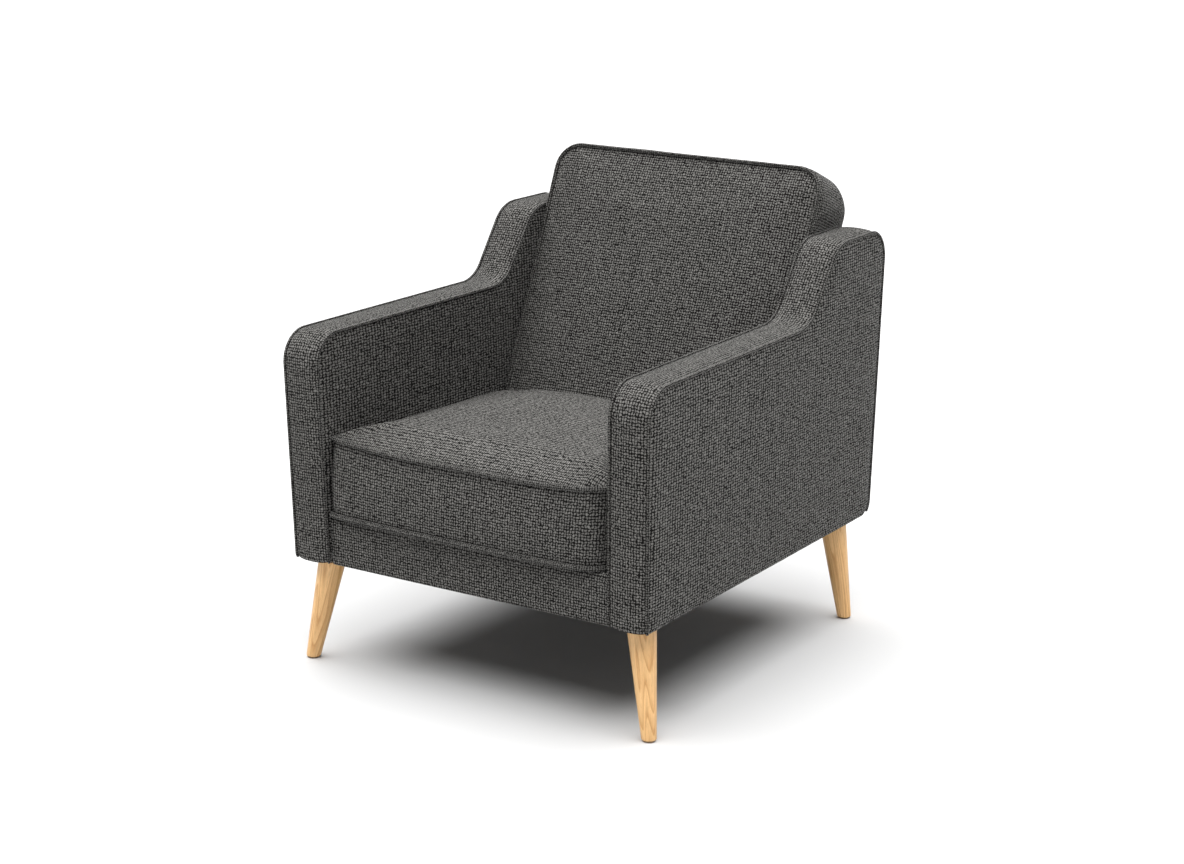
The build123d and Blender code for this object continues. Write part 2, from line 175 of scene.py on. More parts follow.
def waves(points, height, size, seed, distance, reach):
    """Slow waves of a filled cover, which die out towards its seams."""
    return height * wander(points, size, seed) * np.minimum(distance / reach, 1)


# ------------ mesh building
class Shell:
    """Grids of quads that meet at their edges, with weave coordinates in metres."""

    def __init__(self):
        self.points, self.faces, self.weave = [], [], []

    def grid(self, points, weave):
        rows, cols = points.shape[:2]
        base = len(self.points)
        self.points.extend(points.reshape(-1, 3))
        flat = weave.reshape(-1, 2)
        for i in range(rows - 1):
            for j in range(cols - 1):
                low, high = i * cols + j, (i + 1) * cols + j
                quad = (low, high, high + 1, low + 1)
                self.faces.append([base + k for k in quad])
                self.weave.append(flat[list(quad)])

    def build(self, name, join=2e-5):
        mesh = bpy.data.meshes.new(name)
        mesh.from_pydata([tuple(p) for p in self.points], [], self.faces)
        layer = mesh.uv_layers.new(name="weave")
        layer.data.foreach_set("uv", np.concatenate(self.weave).astype(np.float32).ravel())
        work = bmesh.new()
        work.from_mesh(mesh)
        bmesh.ops.remove_doubles(work, verts=work.verts, dist=join)
        bmesh.ops.recalc_face_normals(work, faces=work.faces)
        work.to_mesh(mesh)
        work.free()
        mesh.shade_smooth()
        piece = bpy.data.objects.new(name, mesh)
        bpy.context.scene.collection.objects.link(piece)
        return piece


def weave_of(grid):
    """Weave coordinates that follow a grid: distance along its rows and along its columns."""
    rows = np.linalg.norm(np.diff(grid, axis=0), axis=-1).mean(1)
    cols = np.linalg.norm(np.diff(grid, axis=1), axis=-1).mean(0)
    u = np.concatenate([[0], np.cumsum(rows)])
    v = np.concatenate([[0], np.cumsum(cols)])
    return net(u, v)


def tube(name, path, radius, closed=False, sides=12, seed=0.0):
    """Round cord along a path, slightly uneven, as a fabric-covered piping cord is."""
    path = np.asarray(path, float)
    if closed:
        path = path[:-1] if np.allclose(path[0], path[-1]) else path
        ahead, behind = np.roll(path, -1, 0), np.roll(path, 1, 0)
        tangent = unit(ahead - behind)
    else:
        tangent = unit(np.gradient(path, axis=0))
    normal = np.cross(tangent[0], (0.31, 0.52, 0.79))
    normals = []
    for t in tangent:
        normal = unit(normal - t * (normal @ t))
        normals.append(normal)
    normals = np.array(normals)
    binormals = np.cross(tangent, normals)
    if closed:  # spread the leftover twist so that the last ring meets the first
        last = unit(normals[-1] - tangent[0] * (normals[-1] @ tangent[0]))
        twist = math.atan2(last @ binormals[0], last @ normals[0])
        share = -np.linspace(0, twist, len(path))[:, None]
        normals, binormals = (
            normals * np.cos(share) + binormals * np.sin(share),
            binormals * np.cos(share) - normals * np.sin(share),
        )
    uneven = radius * (1 + 0.05 * wander(path, 0.011, seed))
    angle = np.linspace(0, 2 * math.pi, sides + 1)
    ring = normals[:, None] * np.cos(angle)[None, :, None] + binormals[:, None] * np.sin(angle)[None, :, None]
    grid = path[:, None] + ring * uneven[:, None, None]
    distance = along(path)
    if closed:
        grid = np.concatenate([grid, grid[:1]])
        distance = np.append(distance, distance[-1] + np.linalg.norm(path[0] - path[-1]))
    weave = net(distance, angle * radius)
    shell = Shell()
    shell.grid(grid, weave)
    if not closed:
        for end, inward in ((0, 1), (-1, -1)):
            cap = path[end] - tangent[end] * inward * radius * 0.5
            middle = (grid[end] + path[end]) / 2 - tangent[end] * inward * radius * 0.35
            rows = np.stack([grid[end], middle, np.repeat(cap[None], sides + 1, 0)])
            shell.grid(rows, weave_of(rows))
    return shell.build(name)


def slab(name, grid, thickness, weave=None):
    """A sheet with real thickness: the grid is its front, and the rest is closed behind it."""
    across = np.gradient(grid, axis=1)
    down = np.gradient(grid, axis=0)
    normal = unit(np.cross(down, across))
    behind = grid - normal * thickness
    weave = weave_of(grid) if weave is None else weave
    shell = Shell()
    shell.grid(grid, weave)
    shell.grid(behind, weave)
    for edge in ((0, slice(None)), (-1, slice(None)), (slice(None), 0), (slice(None), -1)):
        rim = np.stack([grid[edge], behind[edge]])
        shell.grid(rim, weave_of(rim))
    return shell.build(name)


def smoother(piece, levels=1):
    """Applies a subdivision surface, so that the piece keeps no modifier."""
    modifier = piece.modifiers.new("round", "SUBSURF")
    modifier.levels = modifier.render_levels = levels
    graph = bpy.context.evaluated_depsgraph_get()
    mesh = bpy.data.meshes.new_from_object(piece.evaluated_get(graph), depsgraph=graph)
    piece.modifiers.clear()
    piece.data = mesh
    mesh.shade_smooth()
    return piece


def settle(cover, seams, keep):
    """Lets the filling press a cover outwards between its held seams, then flattens it where it rests.

    The cloth simulation runs on the cover itself.
    """
    drafted = np.array([v.co for v in cover.data.vertices])
    settled = drafted.copy()
    held = cover.vertex_groups.new(name="seams")
    from_seam = distance_to(drafted, seams)
    held.add([int(i) for i in np.flatnonzero(from_seam < SEAM_HELD)], 1.0, "REPLACE")
    cloth = cover.modifiers.new("settle", "CLOTH")
    cloth.settings.quality = 5
    cloth.settings.mass = 0.25
    cloth.settings.tension_stiffness = cloth.settings.compression_stiffness = 25
    cloth.settings.bending_stiffness = 2.0
    cloth.settings.use_pressure = True
    cloth.settings.uniform_pressure_force = SETTLE_PRESSURE
    cloth.settings.effector_weights.gravity = 0
    cloth.settings.vertex_group_mass = held.name
    cloth.collision_settings.use_collision = False
    cloth.point_cache.frame_start, cloth.point_cache.frame_end = 1, SETTLE_FRAMES
    for number in range(1, SETTLE_FRAMES + 1):
        bpy.context.scene.frame_set(number)
    graph = bpy.context.evaluated_depsgraph_get()
    pressed = np.array([v.co for v in cover.evaluated_get(graph).data.vertices])
    cover.modifiers.clear()
    cover.vertex_groups.clear()
    bpy.context.scene.frame_set(1)
    move = pressed - drafted
    length = np.linalg.norm(move, axis=1, keepdims=True)
    settled += move * np.minimum(1, SETTLE_CAP / np.maximum(length, 1e-9))
    cover.data.vertices.foreach_set("co", keep(settled).astype(np.float32).ravel())
    cover.data.update()
    return smoother(cover)


def finish_piece(piece, body, material, replaced=()):
    piece.data.materials.clear()
    piece.data.materials.append(material)
    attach(piece, body)
    if replaced:
        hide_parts(*replaced)
    return piece


# ------------ materials
def socket_of(node, name):
    """The output of that name that is in use: the noise and white noise nodes hide one or two."""
    return next(o for o in node.outputs if o.name == name and o.enabled)


class Shader:
    """A material's node tree, written as a chain of small calls."""

    def __init__(self, name, **constants):
        self.material = bpy.data.materials.new(name)
        self.material.use_nodes = True
        self.tree = self.material.node_tree
        self.surface = self.tree.nodes["Principled BSDF"]
        for key, value in constants.items():
            self.surface.inputs[key.replace("_", " ")].default_value = value

    def node(self, kind, inputs=None, **settings):
        made = self.tree.nodes.new(kind)
        for key, value in settings.items():
            setattr(made, key, value)
        for key, value in (inputs or {}).items():
            self.put(value, made.inputs[key])
        return made

    def place(self):
        """Where a point is on the chair, in metres."""
        return self.node("ShaderNodeTexCoord").outputs["Object"]

    def put(self, value, socket):
        if isinstance(value, bpy.types.NodeSocket):
            self.tree.links.new(value, socket)
        else:
            socket.default_value = value

    def math(self, operation, *values, clamp=False):
        made = self.node("ShaderNodeMath", operation=operation, use_clamp=clamp)
        for i, value in enumerate(values):
            self.put(value, made.inputs[i])
        return made.outputs[0]

    def vector(self, operation, value, by=None):
        made = self.node("ShaderNodeVectorMath", operation=operation)
        self.put(value, made.inputs[0])
        if operation == "SCALE":
            self.put(by, made.inputs["Scale"])
        elif by is not None:
            self.put(by, made.inputs[1])
        return made.outputs[0]

    def ramp(self, factor, stops):
        made = self.node("ShaderNodeValToRGB", {"Fac": factor})
        while len(made.color_ramp.elements) < len(stops):
            made.color_ramp.elements.new(1)
        for element, (place, colour) in zip(made.color_ramp.elements, stops):
            element.position = place
            element.color = (*colour, 1) if isinstance(colour, tuple) else (colour, colour, colour, 1)
        return made.outputs[0]

    def noise(self, vector, scale, detail=2.0, roughness=0.5):
        made = self.node(
            "ShaderNodeTexNoise",
            {"Vector": vector, "Scale": scale, "Detail": detail, "Roughness": roughness},
        )
        return socket_of(made, made.outputs[0].name)

    def mix(self, factor, a, b, blend="MIX"):
        made = self.node("ShaderNodeMix", data_type="RGBA", blend_type=blend)
        for value, socket in ((factor, made.inputs[0]), (a, made.inputs[6]), (b, made.inputs[7])):
            if isinstance(value, tuple) and len(value) == 3:
                value = (*value, 1)
            self.put(value, socket)
        return made.outputs[2]

    def finish(self, colour=None, roughness=None, height=None, depth=0.001, strength=1.0):
        if colour is not None:
            self.put(colour, self.surface.inputs["Base Color"])
        if roughness is not None:
            self.put(roughness, self.surface.inputs["Roughness"])
        if height is not None:
            bump = self.node("ShaderNodeBump", {"Height": height, "Distance": depth, "Strength": strength})
            self.put(bump.outputs["Normal"], self.surface.inputs["Normal"])
        return self.material


def grey(value):
    return (value, value * 0.975, value * 0.925)


ROW_WANDER, WANDER_SIZE = 1.5, 0.9  # in floats
SKIPPED_FLOATS = 0.08
ROUND_ACROSS, ROUND_ALONG, END_DIP = 1.6, 2.6, 0.85  # section of a float across it and along it
# below the first edge the weave is painted near black, as shade in the hollows between the floats
GAP_SHADE_EDGE, YARN_EDGE = 0.34, 0.72


# dark is the near-black colour of the painted shade in the gaps between the floats
def basket_weave(name, pitch=0.0050, dark=0.002, light=0.150, sheen=0.28):
    """Hopsack: pale yarn floats that run both ways in turn, with painted shade in the gaps at their sides."""
    shader = Shader(name, Sheen_Roughness=0.30, Specular_IOR_Level=0.12)
    weave = shader.node("ShaderNodeUVMap", uv_map="weave").outputs[0]
    place = shader.place()
    cells = shader.vector("SCALE", weave, 1 / pitch)
    wobble = socket_of(shader.node("ShaderNodeTexNoise", {"Vector": cells, "Scale": WANDER_SIZE}), "Color")
    wobble = shader.vector("SUBTRACT", wobble, (0.5, 0.5, 0.5))
    cells = shader.vector("ADD", cells, shader.vector("SCALE", wobble, ROW_WANDER))
    number = shader.vector("FLOOR", cells)
    split = shader.node("ShaderNodeSeparateXYZ", {0: cells})
    column, row = (shader.math("SUBTRACT", shader.math("FRACT", split.outputs[k]), 0.5) for k in range(2))
    count = shader.node("ShaderNodeSeparateXYZ", {0: number})
    chance = shader.node("ShaderNodeTexWhiteNoise", {"Vector": number}, noise_dimensions="3D")
    skipped = shader.math("LESS_THAN", chance.outputs["Value"], SKIPPED_FLOATS)
    parity = shader.math("PINGPONG", shader.math("ADD", count.outputs[0], count.outputs[1]), 1.0)
    parity = shader.math("ABSOLUTE", shader.math("SUBTRACT", parity, skipped))
    other = shader.math("SUBTRACT", 1.0, parity)
    across, length = (
        shader.math("ADD", shader.math("MULTIPLY", a, parity), shader.math("MULTIPLY", b, other))
        for a, b in ((column, row), (row, column))
    )
    side, end = (
        shader.math("POWER", shader.math("MULTIPLY", shader.math("ABSOLUTE", offset), 2.0), roundness)
        for offset, roundness in ((across, ROUND_ACROSS), (length, ROUND_ALONG))
    )
    end = shader.math("MULTIPLY", end, END_DIP)
    float_height = shader.math(
        "MULTIPLY", shader.math("SUBTRACT", 1.0, side), shader.math("SUBTRACT", 1.0, end), clamp=True
    )
    fibre = shader.noise(place, 2600.0, 2.0, 0.7)
    mottle = shader.noise(place, 9.0, 3.0, 0.6)
    fuzzy = shader.math("MULTIPLY", shader.math("SUBTRACT", fibre, 0.5), 0.5)
    lit = shader.math("ADD", float_height, fuzzy)
    tint = socket_of(chance, "Color")
    tone = shader.node("ShaderNodeSeparateColor", {"Color": tint}).outputs[1]
    yarn = shader.ramp(tone, [(0.0, grey(light * 0.8)), (0.5, grey(light)), (1.0, grey(light * 1.2))])
    # painted shade: where a float dips, its colour fades to the near-black gap colour, darkening the hollows
    # between the floats
    gap = shader.ramp(lit, [(GAP_SHADE_EDGE, 0.0), (YARN_EDGE, 1.0)])
    shader.put(shader.math("MULTIPLY", gap, sheen), shader.surface.inputs["Sheen Weight"])
    # this near-black gap colour is painted shade in the hollows between the floats
    colour = shader.mix(gap, (dark * 1.1, dark * 0.95, dark * 0.85), yarn)
    cloud = shader.ramp(mottle, [(0.3, 0.97), (0.7, 1.03)])
    colour = shader.mix(1.0, colour, cloud, "MULTIPLY")
    rough = shader.ramp(fibre, [(0.2, 0.82), (0.8, 0.98)])
    height = shader.math("ADD", float_height, shader.math("MULTIPLY", fibre, 0.3))
    return shader.finish(colour, rough, height, depth=0.0010, strength=0.7)


def timber(name, axis, dark, light, ring=34.0, gloss=0.42, grain_depth=0.00012):
    """Wood with its grain along one axis: growth rings, fine pores and slow colour drift."""
    shader = Shader(name, Coat_Weight=0.12, Coat_Roughness=0.35, Specular_IOR_Level=0.4)
    place = shader.place()
    turn = Vector((0, 0, 1)).rotation_difference(Vector(axis)).inverted().to_euler()
    aligned = shader.node("ShaderNodeMapping", {"Vector": place, "Rotation": turn}).outputs[0]
    stretched = shader.node("ShaderNodeMapping", {"Vector": aligned, "Scale": (1.0, 1.0, 0.07)}).outputs[0]
    bend = shader.noise(stretched, 11.0, 3.0, 0.55)
    rings = shader.math("FRACT", shader.math("MULTIPLY", bend, ring))
    late = shader.ramp(rings, [(0.0, 0.0), (0.55, 0.35), (0.9, 1.0), (1.0, 0.0)])
    pores = shader.node("ShaderNodeMapping", {"Vector": aligned, "Scale": (1.0, 1.0, 0.025)}).outputs[0]
    pore = shader.noise(pores, 1500.0, 2.0, 0.6)
    streak = shader.noise(pores, 260.0, 3.0, 0.6)
    drift = shader.noise(aligned, 14.0, 2.0, 0.5)
    colour = shader.mix(late, light, dark)
    fleck = shader.ramp(pore, [(0.30, (0.72, 0.66, 0.58)), (0.46, (1.0, 1.0, 1.0))])
    colour = shader.mix(0.8, colour, fleck, "MULTIPLY")
    streaks = shader.ramp(streak, [(0.3, (0.90, 0.87, 0.83)), (0.7, (1.08, 1.07, 1.05))])
    colour = shader.mix(1.0, colour, streaks, "MULTIPLY")
    patches = shader.ramp(drift, [(0.3, (0.93, 0.91, 0.89)), (0.7, (1.06, 1.06, 1.05))])
    colour = shader.mix(1.0, colour, patches, "MULTIPLY")
    rough = shader.ramp(streak, [(0.3, gloss - 0.06), (0.7, gloss + 0.10)])
    return shader.finish(colour, rough, pore, depth=grain_depth, strength=0.5)


def plain_cloth(name, tone, pitch=0.0016):
    """Fine plain cloth for parts that are hidden in use: threads both ways, slightly uneven."""
    shader = Shader(name, Sheen_Weight=0.1, Specular_IOR_Level=0.2)
    place = shader.place()
    scaled = shader.node("ShaderNodeVectorMath", {0: place, "Scale": 2 * math.pi / pitch}, operation="SCALE")
    split = shader.node("ShaderNodeSeparateXYZ", {0: scaled.outputs[0]})
    waves = [shader.math("SINE", split.outputs[k]) for k in range(3)]
    threads = shader.math("ADD", shader.math("MULTIPLY", waves[0], waves[1]), waves[2])
    fuzz = shader.noise(place, 900.0, 2.0, 0.7)
    height = shader.math("ADD", shader.math("MULTIPLY", threads, 0.35), fuzz)
    low, high = (tuple(c * k for c in tone) for k in (0.6, 1.3))
    colour = shader.ramp(height, [(0.2, low), (0.9, high)])
    rough = shader.ramp(fuzz, [(0.2, 0.8), (0.8, 0.98)])
    return shader.finish(colour, rough, height, depth=0.0004, strength=0.6)


def steel(name):
    shader = Shader(name, Metallic=1.0)
    place = shader.place()
    long = shader.node("ShaderNodeMapping", {"Vector": place, "Scale": (1.0, 12.0, 1.0)}).outputs[0]
    scratch = shader.noise(long, 160.0, 4.0, 0.7)
    stain = shader.noise(place, 30.0, 3.0, 0.6)
    colour = shader.ramp(stain, [(0.3, (0.33, 0.33, 0.34)), (0.7, (0.58, 0.58, 0.57))])
    rough = shader.ramp(scratch, [(0.3, 0.28), (0.7, 0.5)])
    return shader.finish(colour, rough, scratch, depth=0.0001, strength=0.3)


def moulded(name, tone):
    shader = Shader(name, Specular_IOR_Level=0.4)
    place = shader.place()
    grain = shader.noise(place, 1400.0, 2.0, 0.6)
    wear = shader.noise(place, 120.0, 3.0, 0.6)
    darker = tuple(c * 0.7 for c in tone)
    colour = shader.mix(wear, darker, tone)
    rough = shader.ramp(wear, [(0.3, 0.5), (0.7, 0.75)])
    return shader.finish(colour, rough, grain, depth=0.0001, strength=0.4)


FABRIC = basket_weave("upholstery_weave")
# the piping is the cover's own fabric, painted darker as shade along the seams
SHADED_PIPING = basket_weave("piping_weave_painted_shade", pitch=0.0042, light=0.125)
OAK_DARK, OAK_LIGHT = (0.60, 0.325, 0.12), (0.82, 0.53, 0.25)
PINE_DARK, PINE_LIGHT = (0.50, 0.33, 0.16), (0.72, 0.55, 0.33)


# ------------ arms
def arm_point(side, depth, outline_points):
    """From an arm's own upright frame, depth in from its outer side, to its place."""
    local = np.empty((*outline_points.shape[:-1], 3))
    local[..., 0] = -depth
    local[..., 1] = outline_points[..., 0] - ARM_PIVOT.y
    local[..., 2] = outline_points[..., 1] - ARM_PIVOT.z
    ct, st, cf, sf = math.cos(ARM_TOE_IN), math.sin(ARM_TOE_IN), math.cos(ARM_FLARE), math.sin(ARM_FLARE)
    toed = np.stack([local[..., 0] * ct - local[..., 1] * st, local[..., 0] * st + local[..., 1] * ct], -1)
    placed = np.stack(
        [
            toed[..., 0] * cf + local[..., 2] * sf + ARM_PIVOT.x,
            toed[..., 1] + ARM_PIVOT.y,
            np.maximum(local[..., 2] * cf - toed[..., 0] * sf + ARM_PIVOT.z, ARM_UNDERSIDE),
        ],
        -1,
    )
    placed[..., 0] *= side
    return placed


def inner_x(y, z):
    """Distance from the middle plane to an arm's inner side."""
    flare, toe_in = (z - ARM_PIVOT.z) * math.tan(ARM_FLARE), (y - ARM_PIVOT.y) * math.tan(ARM_TOE_IN)
    return ARM_PIVOT.x - ARM_THICKNESS + flare - toe_in


def arm_sections(inset):
    """The arm's outline in four stretches: front, top with the wing, rear and bottom."""
    outline, middles = rounded_outline(ARM_CORNERS, ARM_RADII)
    tangent = unit(np.roll(outline, -1, 0) - np.roll(outline, 1, 0))
    outward = np.stack([-tangent[:, 1], tangent[:, 0]], 1)
    cuts = [middles[0], middles[1], middles[4], middles[5]]
    counts = (64, 160, 64, 160)
    base = sections(outline, cuts, counts)
    normals = [unit(stretch) for stretch in sections_like(outward, outline, cuts, counts)]
    return [b - n * inset for b, n in zip(base, normals)], normals


def sections_like(values, outline, cuts, counts):
    """Values carried along the outline, resampled as its stretches are."""
    found = []
    for i, (cut, count) in enumerate(zip(cuts, counts)):
        end = cuts[(i + 1) % len(cuts)]
        pick = list(range(cut, end + 1)) if end > cut else [*range(cut, len(outline)), *range(end + 1)]
        distance = along(outline[pick])
        wanted = np.linspace(0, distance[-1], count)
        found.append(np.stack([np.interp(wanted, distance, values[pick, k]) for k in range(2)], 1))
    return found


ARM_OUTER_CROWN, ARM_INNER_CROWN, ARM_CROWN_REACH = 0.0046, 0.0036, 0.012
BAND_CROWN, BAND_CROWN_REACH = 0.0058, 0.010
PUCKER_HEIGHT, PUCKER_SIZE, PUCKER_FADE = 0.0006, 0.016, 0.014


def pucker(distance, points, seed):
    """Small gathers that run off a seam and fade within a few centimetres."""
    return PUCKER_HEIGHT * wander(points, PUCKER_SIZE, seed) * np.exp(-distance / PUCKER_FADE)


def arm_panel(side, depth, outwards, crown):
    """Flat side of an arm, padded from its seam inwards; outwards is the sign of its bulge."""
    (front, top, rear, bottom), _ = arm_sections(SEAM_INSET)
    flat = coons(front, rear[::-1], bottom[::-1], top)
    outline = np.vstack([front, top, rear, bottom])
    distance = distance_to(flat, resample(outline, 1600))
    place = arm_point(side, depth, flat)
    lift = swell(distance, crown, ARM_CROWN_REACH) + pucker(distance, place, 3.7 * side + depth * 50)
    lift += waves(place, 0.0007, 0.16, 11.0 + depth * 90, distance, 0.05)
    return arm_point(side, depth - outwards * lift, flat), flat


def arm_band(side, columns=15):
    """Band between the two seams: up the front, over the top, up the wing and down the rear."""
    stretches, normals = arm_sections(SEAM_INSET)
    path = np.vstack([stretches[0], stretches[1][1:], stretches[2][1:]])
    outward = np.vstack([normals[0], normals[1][1:], normals[2][1:]])
    depth = np.linspace(SEAM_INSET, ARM_THICKNESS - SEAM_INSET, columns)
    from_seam = np.minimum(depth - SEAM_INSET, ARM_THICKNESS - SEAM_INSET - depth)
    flat = np.repeat(path[:, None], columns, 1)
    place = arm_point(side, np.broadcast_to(depth, flat.shape[:2]), flat)
    lift = swell(from_seam, BAND_CROWN, BAND_CROWN_REACH)[None] + pucker(from_seam[None], place, 7.1 * side)
    flat = flat + outward[:, None] * lift[..., None]
    grid = arm_point(side, np.broadcast_to(depth, flat.shape[:2]), flat)
    weave = net(along(path), depth)
    return grid, weave


def arm_underside(side, columns=15):
    (_, _, _, bottom), _ = arm_sections(SEAM_INSET)
    depth = np.linspace(SEAM_INSET, ARM_THICKNESS - SEAM_INSET, columns)
    flat = np.repeat(bottom[:, None], columns, 1)
    grid = arm_point(side, np.broadcast_to(depth, flat.shape[:2]), flat)
    return grid, weave_of(grid)


def make_arm(side_name):
    side = SIDES[side_name]
    shell = Shell()
    panels = ((SEAM_INSET, 1, ARM_OUTER_CROWN), (ARM_THICKNESS - SEAM_INSET, -1, ARM_INNER_CROWN))
    for depth, outwards, crown in panels:
        grid, flat = arm_panel(side, depth, outwards, crown)
        shell.grid(grid, flat * (LONG_WAY, 1))
    shell.grid(*arm_band(side))
    shell.grid(*arm_underside(side))
    cover = smoother(shell.build(f"{side_name}_arm_upholstery"))
    soft = ("outer_cover", "inner_cover", "band_cover", "band_foam", "inner_foam")
    covers = [f"{side_name}_arm_{part}" for part in soft]
    finish_piece(cover, "chair", FABRIC, covers)
    centre = SEAM_INSET - 0.0008
    stretches, _ = arm_sections(centre)
    path = np.vstack([stretches[0], stretches[1][1:], stretches[2][1:]])
    path = resample(path, 620)
    for seam, depth in (("outer", centre), ("inner", ARM_THICKNESS - centre)):
        line = arm_point(side, depth, path)
        cord = tube(f"{side_name}_arm_{seam}_seam_piping", line, ARM_PIPING_R, seed=side * 5 + depth * 100)
        finish_piece(cord, "chair", SHADED_PIPING, [f"{side_name}_arm_{seam}_piping"])


# ------------ seat cushion
SEAT_FRONT_TOP, SEAT_FRONT_BOTTOM = -0.3895, -0.4015
SEAT_SEAM_FRONT, SEAT_SEAM_REAR = 0.4065, 0.394  # height of the upper seam at the front and the rear
SEAT_SEAM_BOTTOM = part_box("seat_bottom_piping")[0].z + SEAT_PIPING_R + 0.0003
SEAT_BOW = 0.009
SEAT_SIDES = (0.0035, 0.0085)  # from each arm's inner side to the seam: the cushion is pushed to the left
SEAT_FRONT_RADII = (0.016, 0.060)  # so its left front corner is squared against the arm
SEAT_CROWN, SEAT_CROWN_REACH, SEAT_DOME = 0.024, 0.019, 0.010
SEAT_ROLL = 0.018  # extra length of weave over the roll behind the front seam
BOXING_BULGE, BOXING_REACH, BOXING_ROWS = 0.0042, 0.020, 22
WELT_OUT = 0.0032  # from a seat seam out to the middle of its welt


def back_y(z, clearance=0.0):
    """Where the front plane of the back is at a height, less a clearance."""
    return BACK_EDGE.y - (BACK_EDGE.z - z) * math.tan(BACK_RECLINE) - clearance / math.cos(BACK_RECLINE)


def seat_loop(front, height, rear, radius_rear, out=0.0):
    """A seam of the seat cushion as four stretches of x and y: front, right, rear and left.

    out moves it outwards, for the middle of a welt.
    """
    left_front, right_front = (inner_x(front, height) - side + out for side in SEAT_SIDES)
    left_rear, right_rear = (inner_x(rear, height) - side + out for side in SEAT_SIDES)
    front, rear = front - out, rear + out
    corners = [(-left_front, front), (right_front, front), (right_rear, rear), (-left_rear, rear)]
    radii = (*(r + out for r in SEAT_FRONT_RADII), radius_rear, radius_rear)
    outline, middles = rounded_outline(corners, radii)
    stretches = sections(outline, middles, (96, 84, 96, 84))
    for stretch in stretches:
        bow = np.clip(np.abs(stretch[:, 0]) / right_front, 0, 1) ** 3
        near_front = np.clip(1 - (stretch[:, 1] - front) / 0.08, 0, 1)
        stretch[:, 1] += SEAT_BOW * bow * near_front
    return stretches


def with_height(stretch, height):
    return np.column_stack([stretch, height(stretch)])


def seat_seam_height(points):
    """The upper seam falls towards the rear and lifts a little round the front corners."""
    y = points[:, 1]
    share = (y - SEAT_FRONT_TOP) / 0.5
    corner = np.clip((np.abs(points[:, 0]) - 0.13) / 0.15, 0, 1) ** 1.5 * np.clip(1 - share * 2.5, 0, 1)
    return SEAT_SEAM_FRONT + (SEAT_SEAM_REAR - SEAT_SEAM_FRONT) * share + 0.008 * corner


def seat_seams(out=0.0):
    """The upper and the lower seam of the cushion, or the middles of their welts."""
    top = seat_loop(SEAT_FRONT_TOP, 0.40, back_y(0.400, 0.012), 0.040, out)
    low = seat_loop(SEAT_FRONT_BOTTOM, 0.29, back_y(0.300, 0.014), 0.030, out)
    upper = [with_height(s, seat_seam_height) for s in top]
    lower = [with_height(s, lambda p: np.full(len(p), SEAT_SEAM_BOTTOM)) for s in low]
    return upper, lower


def make_seat():
    top, low = seat_seams()
    shell = Shell()

    panel = coons(top[0], top[2][::-1], top[3][::-1], top[1])
    loop = resample(np.vstack(top)[:, :2], 1800)
    distance = distance_to(panel[..., :2], loop)
    crown = swell(distance, SEAT_CROWN, SEAT_CROWN_REACH)
    across = np.clip(1 - (panel[..., 0] / 0.29) ** 2, 0, 1)
    back_share = np.clip((panel[..., 1] + 0.39) / 0.5, 0, 1)
    deep = np.sin(np.pi * np.clip(back_share, 0.0, 1.0)) ** 0.7
    crown += SEAT_DOME * across * deep
    raised = panel.copy()
    raised[..., 2] += crown
    raised[..., 2] += pucker(distance, raised, 21.0) + waves(raised, 0.0016, 0.13, 4.0, distance, 0.04)
    inwards = panel[..., 1] - SEAT_FRONT_TOP
    rows_run = SEAT_LONG_WAY * inwards + swell(inwards, SEAT_ROLL, SEAT_CROWN_REACH)
    shell.grid(raised, np.stack([panel[..., 0] * SEAT_ACROSS, rows_run], -1))

    for upper, lower in zip(top, low):
        share = np.linspace(0, 1, BOXING_ROWS)[None, :, None]
        wall = lower[:, None] * (1 - share) + upper[:, None] * share
        height = along(np.stack([lower.mean(0), upper.mean(0)]))[-1]
        tangent = unit(np.gradient(upper[:, :2], axis=0))
        outward = np.column_stack([tangent[:, 1], -tangent[:, 0], np.zeros(len(tangent))])
        from_seam = np.minimum(share[..., 0], 1 - share[..., 0]) * height
        bulge = swell(from_seam, BOXING_BULGE, BOXING_REACH) + pucker(from_seam, wall, 33.0)
        bulge = bulge + waves(wall, 0.0012, 0.12, 9.0, from_seam, 0.03)
        wall = wall + outward[:, None] * bulge[..., None]
        weave = net(along(upper), np.linspace(0, height, BOXING_ROWS))
        shell.grid(wall, weave)
    under = coons(low[0], low[2][::-1], low[3][::-1], low[1])
    shell.grid(under, under[..., :2])

    seams = np.vstack([resample(np.vstack(loop), 3000) for loop in (top, low)])
    cover = settle(shell.build("seat_cushion_cover"), seams, keep_in_seat)
    soft = ["seat_top_panel", "seat_boxing", "seat_bottom_panel", "seat_foam"]
    finish_piece(cover, "seat_cushion", FABRIC, soft)
    upper, lower = seat_seams(WELT_OUT)
    for name, loop, radius, node in (
        ("seat_upper_welt", upper, SEAT_PIPING_R, "seat_top_piping"),
        ("seat_lower_welt", lower, SEAT_PIPING_R + 0.0004, "seat_bottom_piping"),
    ):
        line = resample(np.vstack([loop[0], loop[1][1:], loop[2][1:], loop[3][1:]]), 640)
        limit = inner_x(line[:, 1], line[:, 2]) - radius
        line[:, 0] = np.clip(line[:, 0], -limit, limit)
        cord = tube(name, line, radius, closed=True, sides=14, seed=radius * 9000)
        finish_piece(cord, "seat_cushion", SHADED_PIPING, [node])


def keep_in_seat(points):
    """Flattens the cushion where it rests: against the arms, the back and the deck."""
    limit = inner_x(points[:, 1], points[:, 2]) - CLEAR
    points[:, 0] = np.clip(points[:, 0], -limit, limit)
    points[:, 1] = np.minimum(points[:, 1], back_y(points[:, 2], 0.0015))
    points[:, 2] = np.maximum(points[:, 2], DECK_TOP + 0.0007)
    return points


